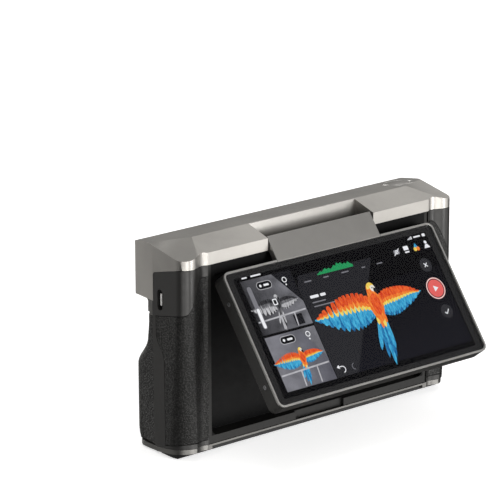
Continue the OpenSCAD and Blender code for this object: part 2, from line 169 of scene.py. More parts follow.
def plastic(name, colour, rough=0.42, grain=2600, depth=0.012, spread=0.06, specular=0.3):
    """Moulded plastic with a fine spark-eroded texture."""
    s = Shader(name)
    cloud = s.noise(28, 3)
    speck = s.noise(grain, 3, 0.7)
    tint = s.mix(s.ramp(cloud, 0.3, 0.7), shade(colour, 1 - spread), shade(colour, 1 + spread))
    roughness = s.ramp(s.noise(300, 5, 0.7), 0.3, 0.7, rough - 0.05, rough + 0.07)
    return s.principled(Base_Color=tint, Roughness=roughness, Specular_IOR_Level=specular,
                        Normal=s.bump(speck, 0.35, depth))


def rubber(name, colour, pebble=1250, depth=0.16, rough=0.42):
    """Soft pebbled grip covering: small rounded cells, with painted shade darkening the creases between them
    and a painted highlight lightening their tops.
    """
    s = Shader(name)
    warp = s.node("ShaderNodeTexNoise", Vector=s.place, Scale=900, Detail=2)
    moved = s.node("ShaderNodeVectorMath", {"operation": "MULTIPLY_ADD"})
    s.put(moved.inputs[0], warp.outputs["Color"])
    moved.inputs[1].default_value = (0.0007,) * 3
    s.put(moved.inputs[2], s.place)
    cells = s.node("ShaderNodeTexVoronoi", {"feature": "SMOOTH_F1"}, Vector=moved.outputs[0], Scale=pebble)
    cells.inputs["Smoothness"].default_value = 0.3
    dist = cells.outputs["Distance"]
    height = s.math("ADD", s.ramp(dist, 0.1, 0.7, 1.0, 0.0), s.math("MULTIPLY", s.noise(3200, 2), 0.3))
    patchy = s.noise(60, 3)
    # painted shade: creases darker, in random patches; painted highlight: cell tops lighter, in the next line
    crease_painted_shade = s.mix(s.ramp(patchy, 0.35, 0.65), shade(colour, 0.55), shade(colour, 0.8))
    tops_painted_light = s.mix(s.ramp(dist, 0.15, 0.6), shade(colour, 1.5), crease_painted_shade)
    roughness = s.ramp(dist, 0.0, 0.6, rough - 0.05, rough + 0.12)
    return s.principled(Base_Color=tops_painted_light, Roughness=roughness,
                        Specular_IOR_Level=s.ramp(dist, 0.1, 0.65, 0.56, 0.28),
                        Normal=s.bump(height, 0.8, depth))


def clear_glass(name, tint, rough=0.02, share=1.0, ior=1.5):
    """Thin clear cover: mostly see-through, with a reflection that grows at grazing angles."""
    s = Shader(name)
    smear = s.ramp(s.noise(45, 4, 0.6), 0.4, 0.75, rough, rough + 0.03)
    gloss = s.node("ShaderNodeBsdfGlossy", Color=(1, 1, 1), Roughness=smear)
    through = s.node("ShaderNodeBsdfTransparent", Color=tint)
    fres = s.node("ShaderNodeFresnel")
    fres.inputs["IOR"].default_value = ior
    outside = s.math("SUBTRACT", 1.0, s.node("ShaderNodeNewGeometry").outputs["Backfacing"])
    fac = s.math("MULTIPLY", s.math("MULTIPLY", fres.outputs[0], share), outside)
    m = s.node("ShaderNodeMixShader")
    s.put(m.inputs[0], fac)
    s.put(m.inputs[1], through.outputs[0])
    s.put(m.inputs[2], gloss.outputs[0])
    return s.surface(m.outputs[0])


def lens_glass(name, centre, rim, rough=0.03, glow=0.0):
    """Coated lens: colour shifts from the centre to the rim, with a tight highlight. The glow argument paints
    light into it: an emission in the lens colour, though no lamp is there.
    """
    s = Shader(name)
    facing = s.node("ShaderNodeLayerWeight")
    facing.inputs["Blend"].default_value = 0.35
    col = s.mix(facing.outputs["Facing"], centre, rim)
    speck = s.ramp(s.noise(700, 3), 0.4, 0.6, 0.85, 1.1)
    return s.principled(Base_Color=col, Roughness=s.math("MULTIPLY", speck, rough), Coat_Weight=1.0,
                        Coat_Roughness=0.02, Metallic=0.15, Specular_IOR_Level=0.8,
                        Emission_Color=col, Emission_Strength=glow)


def glow(name, colour, strength=1.0, fleck=0.06, scale=300):
    """Lit picture element on the display, with a slight mottle so that no patch is flat."""
    s = Shader(name)
    f = s.ramp(s.noise(scale, 4, 0.6), 0.3, 0.7, 1 - fleck, 1 + fleck)
    light = s.node("ShaderNodeEmission", Color=colour, Strength=s.math("MULTIPLY", f, strength))
    return s.surface(light.outputs[0])


def board(name):
    s = Shader(name)
    tracks = s.node("ShaderNodeTexBrick", Vector=s.place, Scale=180.0)
    col = s.mix(s.ramp(s.noise(500, 2), 0.45, 0.55), (0.01, 0.07, 0.03), (0.02, 0.13, 0.06))
    return s.principled(Base_Color=col, Roughness=0.35, Normal=s.bump(tracks.outputs["Fac"], 0.4, 0.03))


def rear_plastic(name):
    """The rear shell: satin on the rails, dull inside the screen pocket, where its colour is painted nearly
    black as shade.
    """
    s = Shader(name)
    xyz = s.node("ShaderNodeSeparateXYZ", Vector=s.place).outputs
    rear_y, pocket_half_width, pocket_bottom = -0.0210, 0.0772, 0.0111
    pocket_shade_mask = s.math("GREATER_THAN", xyz[1], rear_y)
    pocket_shade_mask = s.math("MULTIPLY", pocket_shade_mask, s.math("LESS_THAN", s.math("ABSOLUTE", xyz[0]), pocket_half_width))
    pocket_shade_mask = s.math("MULTIPLY", pocket_shade_mask, s.math("GREATER_THAN", xyz[2], pocket_bottom))
    speck = s.noise(2600, 3, 0.7)
    rail = s.mix(s.ramp(s.noise(28, 3), 0.3, 0.7), (0.0125, 0.0122, 0.0118), (0.016, 0.0156, 0.015))
    # painted shade: the recess behind the screen is coloured nearly black
    pocket_painted_shade = s.mix(s.ramp(s.noise(28, 3), 0.3, 0.7), (0.0022, 0.0022, 0.0024), (0.0035, 0.0035, 0.0038))
    roughness = s.ramp(s.noise(300, 5, 0.7), 0.3, 0.7, 0.34, 0.44)
    return s.principled(Base_Color=s.mix(pocket_shade_mask, rail, pocket_painted_shade),
                        Roughness=s.math("ADD", roughness, s.math("MULTIPLY", pocket_shade_mask, 0.15)),
                        Specular_IOR_Level=s.ramp(pocket_shade_mask, 0.0, 1.0, 0.22, 0.10),
                        Normal=s.bump(speck, 0.35, 0.02))


GREY = (0.36, 0.348, 0.33)
M = {
    # edge=0.3 paints a highlight along the head's sharp edges
    "head": metal("head_metal", GREY, 0.34, edge=0.3),
    "plate": metal("plate_metal", (0.31, 0.302, 0.29), 0.36),
    "bezel": metal("bezel_metal", (0.50, 0.49, 0.47), 0.30),
    "trim": metal("trim_metal", (0.15, 0.147, 0.142), 0.34),
    "ring": metal("ring_metal", (0.62, 0.61, 0.59), 0.22),
    "button": metal("button_metal", (0.33, 0.32, 0.305), 0.34),
    "power": metal("power_metal", (0.55, 0.54, 0.52), 0.3),
    "bench": metal("bench_metal", (0.6, 0.6, 0.62), 0.4, grain=1500),
    "steel": metal("steel", (0.62, 0.62, 0.63), 0.25, grain=2500),
    "screw": metal("screw_steel", (0.3, 0.3, 0.31), 0.35),
    "brass": metal("brass", (0.70, 0.53, 0.25), 0.28),
    "rim": metal("rim_metal", (0.36, 0.355, 0.345), 0.36, depth=0.002),
    "barrel": metal("barrel_metal", (0.16, 0.16, 0.165), 0.38),
    "panel": plastic("panel_plastic", (0.0175, 0.017, 0.0163), 0.33, grain=3200, depth=0.008, specular=0.38),
    "shell": rear_plastic("shell_plastic"),
    "cover": plastic("cover_plastic", (0.070, 0.068, 0.064), 0.42, grain=3000, depth=0.008, spread=0.03,
                     specular=0.35),
    "base": plastic("base_plastic", (0.012, 0.012, 0.012), 0.5),
    "hood": plastic("hood_plastic", (0.012, 0.0125, 0.014), 0.45, specular=0.4),
    "black": plastic("black_print", (0.0025, 0.0025, 0.003), 0.3, grain=1800, depth=0.004),
    "socket": metal("socket_steel", (0.05, 0.05, 0.05), 0.3),
    "tongue": plastic("tongue_plastic", (0.75, 0.74, 0.72), 0.4),
    "housing": plastic("housing_plastic", (0.022, 0.0215, 0.0205), 0.34, grain=3400, depth=0.01),
    "wrap": plastic("cell_wrap", (0.03, 0.07, 0.16), 0.3),
    "board": board("board_green"),
    "rubber": rubber("grip_rubber", (0.0065, 0.0064, 0.0060)),
    "window": clear_glass("window_glass", (0.82, 0.84, 0.86), share=0.8),
    "cover_glass": clear_glass("screen_cover", (0.97, 0.97, 0.98), rough=0.0, share=0.22),
    # the glow values on the lenses below are painted light, not lamps
    "far_lens": lens_glass("lens_far", (0.95, 0.86, 0.52), (0.35, 0.26, 0.08), glow=0.55),
    "near_lens": lens_glass("lens_near", (0.02, 0.16, 0.12), (0.10, 0.45, 0.33), glow=0.35),
    "rgb_lens": lens_glass("lens_colour", (0.012, 0.013, 0.02), (0.08, 0.07, 0.10), glow=0.1),
    "proj_lens": lens_glass("lens_projector", (0.06, 0.10, 0.22), (0.20, 0.22, 0.30), glow=0.25),
    "led": glow("light_dome", (1.0, 0.98, 0.93), 1.6),
}

FINISH = {
    "head_shell": "head", "window_bezel": "bezel", "window_glass": "window", "window_mask": "black",
    "projector_hood": "hood", "projector_lens": "proj_lens", "projector_module": "hood",
    "optical_bench": "bench", "far_camera_barrels": "barrel", "far_camera_lenses": "far_lens",
    "near_camera_barrels": "barrel", "near_camera_lenses": "near_lens",
    "colour_camera_barrel": "barrel", "colour_camera_lens": "rgb_lens", "light_boards": "board",
    "light_domes": "led", "rear_shell": "shell", "front_cover": "cover", "side_panel_right": "panel",
    "side_panel_left": "panel", "front_grip_right": "rubber", "front_grip_left": "rubber",
    "rear_grip_right": "rubber", "rear_grip_left": "rubber", "base_plate": "base",
    "base_trim": "trim", "base_screws": "screw", "tripod_insert": "brass", "battery_right": "wrap",
    "battery_left": "wrap", "mainboard": "board", "heat_spreader": "bench", "usb_shell": "socket",
    "usb_tongue": "tongue", "scan_button": "button", "scan_ring": "ring", "scan_switch": "hood",
    "power_button": "power", "power_switch": "hood", "hinge_brackets": "steel",
    "hinge_pins": "steel", "hinge_plate": "plate", "screen_housing": "housing",
    "screen_rim": "rim", "screen_glass": "cover_glass", "display_panel": "black",
    "screen_board": "board", "screen_side_screws": "screw",
}


def dress(obj, key):
    obj.data.materials.clear()
    obj.data.materials.append(M[key])


for node_name, node_obj in NODES.items():
    dress(node_obj, FINISH[node_name])


# ---------------------------------------------------------------- CAD nodes kept: small edge rounding

def soften(node, width):
    """Breaks the sharp edges of a kept CAD node with a small modelled radius."""
    o = NODES[node]
    weld = o.modifiers.new("weld", "WELD")
    weld.merge_threshold = 1e-6
    flat = o.modifiers.new("flat", "DECIMATE")
    flat.decimate_type = "DISSOLVE"
    flat.angle_limit = math.radians(FLAT_ANGLE)
    b = o.modifiers.new("edge", "BEVEL")
    b.width = width * MM
    b.segments = 2
    b.limit_method = "ANGLE"
    b.angle_limit = math.radians(EDGE_ANGLE)
    b.use_clamp_overlap = True
    for p in o.data.polygons:
        p.use_smooth = True
    n = o.modifiers.new("normals", "WEIGHTED_NORMAL")
    n.keep_sharp = False
    n.weight = 60


EDGES = {
    "window_bezel": 0.35, "screen_housing": 0.5, "screen_rim": 0.12, "hinge_plate": 0.4,
    "rear_shell": 0.3, "front_cover": 0.4, "side_panel_right": 0.18, "side_panel_left": 0.18,
    "rear_grip_right": 0.3, "rear_grip_left": 0.3, "base_plate": 0.6, "base_trim": 0.7,
    "power_button": 0.35, "scan_ring": 0.2, "hinge_brackets": 0.2, "usb_tongue": 0.1,
    "battery_right": 0.8, "battery_left": 0.8,
}
for node_name, width in EDGES.items():
    soften(node_name, width)


# ---------------------------------------------------------------- mesh helpers

def finish_mesh(name, bm, key, body, smooth=True, replaced=()):
    me = bpy.data.meshes.new(name)
    bmesh.ops.recalc_face_normals(bm, faces=bm.faces)
    bm.to_mesh(me)
    bm.free()
    for p in me.polygons:
        p.use_smooth = smooth
    o = bpy.data.objects.new(name, me)
    bpy.context.scene.collection.objects.link(o)
    me.materials.append(M[key])
    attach(o, body)
    if replaced:
        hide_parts(*replaced)
    return o


# ---------------------------------------------------------------- head shell

def head_piece():
    """The head as modelled in CAD, with its real edge radii: soft behind, crisp in front."""
    bm = bmesh.new()
    bm.from_mesh(NODES["head_shell"].data)
    bmesh.ops.remove_doubles(bm, verts=bm.verts, dist=2e-6)
    bmesh.ops.dissolve_limit(bm, angle_limit=math.radians(FLAT_ANGLE), verts=bm.verts, edges=bm.edges)

    def sharp(e, least):
        return len(e.link_faces) == 2 and math.degrees(e.calc_face_angle(0)) > least

    def up_back(f):
        return f.normal.z > 0.7 and f.normal.y < -0.15

    def wall_back(f):
        return abs(f.normal.z) < 0.12 and f.calc_center_median().y < -0.006

    big = [e for e in bm.edges if sharp(e, 14) and
           any(up_back(f) for f in e.link_faces) and any(wall_back(f) for f in e.link_faces)
           and min(v.co.z for v in e.verts) > 0.1035 and max(v.co.y for v in e.verts) < -0.0095]
    bmesh.ops.bevel(bm, geom=big, offset=1.5 * MM, segments=4, profile=0.5, affect="EDGES",
                    clamp_overlap=True)
    small = [e for e in bm.edges if sharp(e, 24) and e.calc_length() > 0.25 * MM]
    bmesh.ops.bevel(bm, geom=small, offset=0.42 * MM, segments=2, profile=0.5, affect="EDGES",
                    clamp_overlap=True)
    o = finish_mesh("head_body", bm, "head", "body", replaced=("head_shell",))
    n = o.modifiers.new("normals", "WEIGHTED_NORMAL")
    n.weight = 70


head_piece()


# ---------------------------------------------------------------- front grips

def smooth01(t):
    t = max(0.0, min(1.0, t))
    return t * t * (3 - 2 * t)


def arc(cx, cy, rx, ry, degrees):
    """Points on an ellipse at the given angles."""
    return [(cx + rx * math.cos(math.radians(a)), cy + ry * math.sin(math.radians(a))) for a in degrees]


def plan_path():
    """Even points along the full-depth outline, outer wall, crown, crest and steep inner flank."""
    raw = [(97.5, 0.2), (97.5, 4.0), (97.5, 8.0), (97.5, 11.0)]
    raw += arc(86, 11.9, 11.5, 11.5, range(4, 89, 6))
    raw += [(83, 23.33), (80, 23.28)]
    raw += arc(76.4, 13.6, 9.6, 9.6, range(90, 172, 7))
    raw += arc(58.2, 12, 8.4, 8.6, range(-8, -91, -7))
    lengths = [0.0]
    for p, q in zip(raw, raw[1:]):
        lengths.append(lengths[-1] + math.dist(p, q))
    out, count = [], 72
    for k in range(count + 1):
        want = lengths[-1] * k / count
        i = max(j for j in range(len(raw) - 1) if lengths[j] <= want + 1e-9)
        f = (want - lengths[i]) / max(1e-9, lengths[i + 1] - lengths[i])
        (x0, y0), (x1, y1) = raw[i], raw[i + 1]
        out.append((x0 + (x1 - x0) * f, y0 + (y1 - y0) * f))
    return out


PLAN = plan_path()
FLANGE_Y = 3.85          # front of the pad's flat border
PAD_BACK_Y = 3.1         # back of the pad, inside the cover
PAD_FOOT_X = 58.2        # where the inner flank meets the flat border
CREST_Y = 23.35          # the furthest forward point of the grip
SIDE_X = 97.5            # outer side of the grips and of the neck
GRIP_Z0, GRIP_Z1 = 3.95, 76.9
LEAN_Z = 78              # height where the inward lean of the sides starts
NECK_Z, NECK_H = 76.85, 8.25


def flange_edge(z):
    """Inner edge of the flat border of the pad, by height."""
    table = [(3.9, 57.5), (9.2, 57.3), (10.4, 54.0), (12.5, 50.6), (15, 49.9), (50, 49.9), (56.5, 51.2),
             (66, 55.4), (70, 56.2), (78, 56.3)]
    for (z0, x0), (z1, x1) in zip(table, table[1:]):
        if z <= z1:
            return x0 + (x1 - x0) * smooth01((z - z0) / (z1 - z0))
    return table[-1][1]


def depth_share(x, z):
    """How much of the full depth the grip keeps at this place: the finger hollow runs up and outwards."""
    start = 41.5 + 4.5 * smooth01((x - 70) / 26)
    fall = smooth01((z - start) / 17)
    outer = smooth01((x - 78) / 18)
    floor = (0.29 + 0.11 * outer * (1 - smooth01((z - 60) / 14))
             - 0.14 * math.exp(-((z - 62) / 5.5) ** 2) * (1 - outer))
    return 1 - (1 - floor) * fall


def add_ring(bm, ring, side):
    """One closed outline of a loft, mirrored for the left side."""
    return [bm.verts.new((side * x * MM, y * MM, z * MM)) for x, y, z in ring]


def close_loft(bm, loops):
    """Joins the outlines one above the other and caps both ends."""
    for lo, hi in zip(loops, loops[1:]):
        n = len(lo)
        for i in range(n):
            bm.faces.new((lo[i], lo[(i + 1) % n], hi[(i + 1) % n], hi[i]))
    for loop in (loops[0], loops[-1]):
        bm.faces.new(loop)


def grip_piece(name, side, node):
    """Front grip: crowned above the hand, hollowed for the fingers, with a flat border on the inner side."""
    rows, loops = 96, []
    bm = bmesh.new()
    for r in range(rows + 1):
        z = GRIP_Z0 + (GRIP_Z1 - GRIP_Z0) * r / rows
        lean = (LEAN_Z - z) / LEAN_Z
        foot = 1.4 * (max(0.0, 11 - z) / 7) ** 2
        edge = flange_edge(z)
        ring = []
        for x, y in PLAN:
            share = depth_share(x, z)
            yy = FLANGE_Y + (y - FLANGE_Y) * share if y > FLANGE_Y else y
            yy = min(yy, CREST_Y) - foot * smooth01((y - 6) / 14)
            wall = 97.8 - lean * (0.3 + 3.3 * max(0.0, min(1.0, (y + 8) / 24)))
            over = x - (wall - 1.5)
            xx = x if over < 0 else wall - 1.5 + 1.5 * math.tanh(over / 1.5)
            ring.append((xx, max(yy, FLANGE_Y if x < 70 else 0.2), z))
        # flat border, then round its edge and close along the back
        for f in (0.25, 0.5, 0.75, 0.93, 1.0):
            xb = PAD_FOOT_X + (edge + 0.15 - PAD_FOOT_X) * f
            ring.append((xb, FLANGE_Y - (0.28 if f == 1.0 else 0.0), z))
        for xb in (edge, 60, 75, 90):
            ring.append((xb, PAD_BACK_Y, z))
        loops.append(add_ring(bm, ring, side))
    close_loft(bm, loops)
    finish_mesh(name, bm, "rubber", "body", replaced=(node,))


def collar_piece(name, side):
    """Smooth neck of the cover above a grip, flaring forward under the head. CAD has no such part."""
    wall_y = FLANGE_Y - 0.7
    rows, loops = 12, []
    bm = bmesh.new()
    for r in range(rows + 1):
        t = r / rows
        z = NECK_Z + NECK_H * t
        share = 0.285 + 0.24 * (1 - math.sqrt(max(0.0, 1 - (0.96 * t) ** 2)))
        ring = []
        for x, y in PLAN:
            pulled_in = max(wall_y, wall_y + (y - FLANGE_Y + 0.7) * share)
            ring.append((min(x, SIDE_X), pulled_in if x < 70 or y > 4 else y, z))
        ring += [(x, PAD_BACK_Y, z) for x in (56.0, 75, 90)]
        loops.append(add_ring(bm, ring, side))
    close_loft(bm, loops)
    finish_mesh(name, bm, "cover", "body")


grip_piece("grip_front_right", 1, "front_grip_right")
grip_piece("grip_front_left", -1, "front_grip_left")
collar_piece("cover_neck_right", 1)
collar_piece("cover_neck_left", -1)


# ---------------------------------------------------------------- picture on the display

TILT = math.radians(36.5)
HINGE = Vector((0, -14.5, 108.8)) * MM
SCREEN_C = -12.8 - 39.0
OUT_Y = -6.7


def screen_matrix(layer):
    """Takes a flat drawing (x right, y up, from the screen's centre, in mm) to its place under the glass."""
    turn = Matrix.Rotation(-TILT, 4, "X")
    y = (OUT_Y + 1.335 - 0.012 * layer) * MM
    local = Matrix(((MM, 0, 0, 0), (0, 0, -MM, y), (0, MM, 0, SCREEN_C * MM), (0, 0, 0, 1)))
    return Matrix.Translation(HINGE) @ turn @ local


class Drawing:
    """Flat coloured shapes gathered into one mesh, with one material slot a colour."""

    def __init__(self, name):
        self.name, self.bm, self.keys = name, bmesh.new(), []

    def poly(self, pts, key, layer):
        if key not in self.keys:
            self.keys.append(key)
        m = screen_matrix(layer)
        vs = [self.bm.verts.new(m @ Vector((x, y, 0))) for x, y in pts]
        f = self.bm.faces.new(vs)
        f.material_index = self.keys.index(key)
        f.normal_update()

    def rect(self, x0, x1, y0, y1, key, layer, r=0.0, steps=4):
        if r <= 0:
            return self.poly([(x0, y0), (x1, y0), (x1, y1), (x0, y1)], key, layer)
        pts = []
        corners = ((x1 - r, y1 - r, 0), (x0 + r, y1 - r, 90), (x0 + r, y0 + r, 180), (x1 - r, y0 + r, 270))
        for cx, cy, a0 in corners:
            for k in range(steps + 1):
                a = math.radians(a0 + 90 * k / steps)
                pts.append((cx + r * math.cos(a), cy + r * math.sin(a)))
        self.poly(pts, key, layer)

    def disc(self, x, y, r, key, layer, steps=28):
        self.poly([(x + r * math.cos(2 * math.pi * k / steps), y + r * math.sin(2 * math.pi * k / steps))
                   for k in range(steps)], key, layer)

    def ring(self, x, y, r0, r1, key, layer, a0=0, a1=360, steps=28):
        for k in range(steps):
            a, b = (math.radians(a0 + (a1 - a0) * j / steps) for j in (k, k + 1))
            self.poly([(x + r * math.cos(t), y + r * math.sin(t))
                       for r, t in ((r0, a), (r1, a), (r1, b), (r0, b))],
                      key, layer)

    def line(self, x0, y0, x1, y1, w, key, layer):
        d = Vector((x1 - x0, y1 - y0))
        n = Vector((-d.y, d.x)).normalized() * w / 2
        self.poly([(x0 + n.x, y0 + n.y), (x0 - n.x, y0 - n.y), (x1 - n.x, y1 - n.y), (x1 + n.x, y1 + n.y)],
                  key, layer)

    def done(self):
        me = bpy.data.meshes.new(self.name)
        self.bm.to_mesh(me)
        self.bm.free()
        o = bpy.data.objects.new(self.name, me)
        bpy.context.scene.collection.objects.link(o)
        for k in self.keys:
            me.materials.append(M[k])
        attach(o, "screen")


def gradient_glow(name, low, high, direction, span, strength=1.0, scale=250, fleck=0.05):
    """Lit area that fades from one colour to another along a direction in the drawing."""
    s = Shader(name)
    m = s.node("ShaderNodeVectorMath", {"operation": "DOT_PRODUCT"})
    s.put(m.inputs[0], s.place)
    # the drawing's x is the frame's x; its y runs down the tilted screen
    up = (0.0, -math.sin(TILT), math.cos(TILT))
    m.inputs[1].default_value = (direction[0], direction[1] * up[1], direction[1] * up[2])
    centre = HINGE + Matrix.Rotation(-TILT, 3, "X") @ Vector((0, OUT_Y * MM, SCREEN_C * MM))
    base = centre.x * direction[0] + direction[1] * (centre.y * up[1] + centre.z * up[2])
    f = s.ramp(m.outputs["Value"], base + span[0] * MM, base + span[1] * MM)
    col = s.mix(f, low, high)
    mott = s.ramp(s.noise(scale, 4, 0.6), 0.3, 0.7, 1 - fleck, 1 + fleck)
    light = s.node("ShaderNodeEmission", Color=col, Strength=s.math("MULTIPLY", mott, strength))
    return s.surface(light.outputs[0])


def feather_glow(name, base, tip, strength=1.0):
    """Plumage: fine barbs across a slightly varied colour."""
    s = Shader(name)
    barbs = s.noise(900, 3, 0.6, at=s.stretch(1.0, 0.35, 0.35))
    col = s.mix(s.ramp(barbs, 0.35, 0.65), base, tip)
    light = s.node("ShaderNodeEmission", Color=col, Strength=strength)
    return s.surface(light.outputs[0])


M.update({
    "ui_black": glow("ui_black", (0.0022, 0.0022, 0.003), 1.0, 0.3),
    "ui_view": gradient_glow("ui_view", (0.030, 0.030, 0.034), (0.010, 0.010, 0.013), (0.0, 1.0), (-32, 30)),
    "ui_dark": gradient_glow("ui_dark", (0.016, 0.016, 0.024), (0.0015, 0.0015, 0.002),
                             (0.0, 1.0), (-32, 10)),
    "ui_white": glow("ui_white", (0.85, 0.86, 0.88), 1.0),
    "ui_grey": glow("ui_grey", (0.20, 0.20, 0.22), 1.0),
    "ui_button": glow("ui_button", (0.030, 0.030, 0.034), 1.0),
    "ui_green": gradient_glow("ui_green", (0.02, 0.30, 0.10), (0.20, 0.85, 0.42), (0.0, 1.0), (26, 30)),
    "ui_red": glow("ui_red", (0.78, 0.13, 0.12), 1.0),
    "ui_pink": glow("ui_pink", (0.95, 0.62, 0.58), 1.0),
    "ui_tag": glow("ui_tag", (0.008, 0.008, 0.010), 1.0),
    "thumb_grey": gradient_glow("thumb_grey", (0.025, 0.025, 0.028), (0.16, 0.16, 0.175),
                                (1.0, 0.25), (-66, -38), 1.0, 120, 0.35),
    "thumb_mist": gradient_glow("thumb_mist", (0.20, 0.20, 0.22), (0.10, 0.10, 0.12),
                                (1.0, 0.3), (-64, -34), 1.0, 90, 0.25),
    "thumb_shade": glow("thumb_shade", (0.012, 0.012, 0.015), 1.0, 0.3),
    "thumb_pale": glow("thumb_pale", (0.48, 0.48, 0.50), 1.0, 0.2),
    "feather_red": feather_glow("feather_red", (0.62, 0.045, 0.015), (0.90, 0.15, 0.03)),
    "feather_orange": feather_glow("feather_orange", (0.82, 0.13, 0.02), (0.95, 0.30, 0.05)),
    "feather_yellow": feather_glow("feather_yellow", (0.80, 0.52, 0.05), (0.95, 0.75, 0.18)),
    "feather_blue": feather_glow("feather_blue", (0.02, 0.24, 0.50), (0.08, 0.50, 0.75)),
    "feather_deep": feather_glow("feather_deep", (0.010, 0.10, 0.28), (0.03, 0.26, 0.52)),
    "feather_pale": feather_glow("feather_pale", (0.75, 0.72, 0.62), (0.92, 0.90, 0.82)),
    "feather_dark": feather_glow("feather_dark", (0.006, 0.006, 0.008), (0.02, 0.02, 0.025)),
    "mono_mid": feather_glow("mono_mid", (0.06, 0.06, 0.065), (0.22, 0.22, 0.23)),
    "mono_light": feather_glow("mono_light", (0.30, 0.30, 0.31), (0.62, 0.62, 0.63)),
    "mono_dark": feather_glow("mono_dark", (0.008, 0.008, 0.01), (0.05, 0.05, 0.055)),
})

PARTS = ("covert", "mid", "band", "quill", "under", "face", "beak", "crown")
COLOURS = dict(zip(PARTS, ("feather_red", "feather_orange", "feather_yellow", "feather_blue", "feather_deep",
                           "feather_pale", "feather_dark", "feather_yellow")))
MONO = dict(zip(PARTS, ("mono_dark", "mono_mid", "mono_mid", "mono_light", "mono_dark",
                        "mono_light", "mono_dark", "mono_light")))


def curve(p, t):
    """Point on a polyline of control points, smoothed (Catmull-Rom)."""
    n = len(p) - 1
    f = max(0.0, min(n - 1e-6, t * n))
    i = int(f)
    f -= i
    a, b, c, d = (p[max(0, min(n, i + k))] for k in (-1, 0, 1, 2))
    return tuple(0.5 * (2 * b[j] + (c[j] - a[j]) * f + (2 * a[j] - 5 * b[j] + 4 * c[j] - d[j]) * f * f
                        + (3 * b[j] - a[j] - 3 * c[j] + d[j]) * f ** 3) for j in (0, 1))


def between(a, b, share):
    """Point part of the way from a to b."""
    return a[0] + (b[0] - a[0]) * share, a[1] + (b[1] - a[1]) * share


# a feather's outline from root to tip and back: distance along it, share of half its width
VANE = ((0, 0.55), (0.3, 0.9), (0.65, 1.0), (0.88, 0.72), (1.0, 0.0), (0.9, -0.6), (0.65, -1.0), (0.3, -0.9),
        (0, -0.55))


def feather(dr, root, tip, w, key, layer, put):
    """Long rounded feather from root to tip."""
    rx, ry = root
    dx, dy = tip[0] - rx, tip[1] - ry
    length = math.hypot(dx, dy) or 1e-6
    ux, uy = dx / length, dy / length
    pts = []
    for t, s in VANE:
        pts.append(put(rx + dx * t - uy * s * w / 2, ry + dy * t + ux * s * w / 2))
    dr.poly(pts, key, layer)


def bird(dr, cx, cy, size, keys, layer):
    """Spread-winged parrot, after the one on the photographed display; 76 mm wide at size 1."""
    def put(x, y):
        return cx + x * size, cy + y * size

    for side, lead, trail in (
            (-1, [(-3.5, 5), (-10, 8.8), (-19, 9.6), (-27, 8.0), (-38, 4.0), (-44, 0.2)],
             [(-6.5, -8), (-11, -10.5), (-18, -12), (-27, -11.0), (-36, -6.5), (-44, -1.2)]),
            (1, [(4, 5), (9, 7.2), (16, 7.4), (22, 6.6), (27.5, 4.6), (32.5, 1.0)],
             [(3.5, -7), (7, -8.6), (12, -8.8), (18, -7.0), (26, -3.8), (32.5, 0.2)])):
        count = 15
        for k in range(count):
            t = 1 - k / (count - 1)
            a, b = curve(lead, t * 0.97), curve(trail, t)
            key = keys["under" if k % 2 else "quill"]
            feather(dr, between(a, b, 0.28), b, 4.3 - 0.9 * t, key, layer + 0.5 * (k % 2), put)
        for k in range(count - 1):
            t = 1 - (k + 0.5) / (count - 1)
            a, b = curve(lead, t * 0.97), curve(trail, t)
            feather(dr, between(a, b, 0.2), between(a, b, 0.9), 2.7 - 0.6 * t, keys["quill"], layer + 1.2, put)
        rows = ((0.60, 3.2, "band", 2), (0.47, 3.3, "mid", 3), (0.33, 3.2, "covert", 4))
        for share, width, key, lift in rows:
            for k in range(14):
                t = 0.93 * (1 - k / 13)
                a, b = curve(lead, t), curve(trail, t)
                feather(dr, a, between(a, b, share * (1 - 0.25 * t)), width, keys[key], layer + lift, put)
    for k, x in enumerate((-5.0, -2.8, -0.8, 1.4, 3.4)):
        feather(dr, (x * 0.35, -6), (x * 1.15 - 3.0 - abs(x) * 0.2, -27 - 9.5 + abs(x + 0.6) * 2.4), 3.0,
                keys["under" if k % 2 else "quill"], layer + 1 + 0.3 * k, put)
    for k, x in enumerate((-3.2, -1.0, 1.2, 3.2)):
        feather(dr, (x * 0.5, -3), (x * 0.9 - 1.2, -15.5 + abs(x) * 1.2), 2.6,
                keys["mid" if k % 2 else "band"], layer + 3, put)
    for key, steps, lift, pts in (
            ("mid", 36, 5, [(-4.6, 3), (-5.2, -2), (-3.9, -7), (-1.0, -10.5), (1.9, -8), (4.2, -2.5), (4.8, 3),
                            (3.6, 7.6), (2.6, 10.5), (0.5, 12.4), (-2.2, 11.2), (-3.2, 7.5)]),
            ("covert", 28, 6, [(-3.2, 2), (-3.0, -3), (-0.6, -6.5), (2.4, -3.5), (3.0, 2), (1.6, 6),
                               (-1.2, 6)]),
            ("crown", 24, 6, [(-2.4, 9.2), (-1.6, 12.0), (0.8, 13.0), (2.8, 11.8), (3.2, 10.0), (0.6, 9.6)]),
            ("face", 24, 7, [(0.6, 10.8), (2.6, 11.2), (3.7, 9.6), (3.4, 7.8), (1.6, 7.4), (0.2, 8.8)]),
            ("beak", 24, 8, [(2.6, 9.6), (4.1, 8.8), (4.6, 6.9), (4.0, 5.0), (2.7, 6.4), (1.9, 8.0)])):
        outline = [put(*curve(pts + pts[:1], t / steps)) for t in range(steps)]
        dr.poly(outline, keys[key], layer + lift)
    dr.disc(*put(1.7, 9.6), 0.42 * size, keys["beak"], layer + 8, 12)


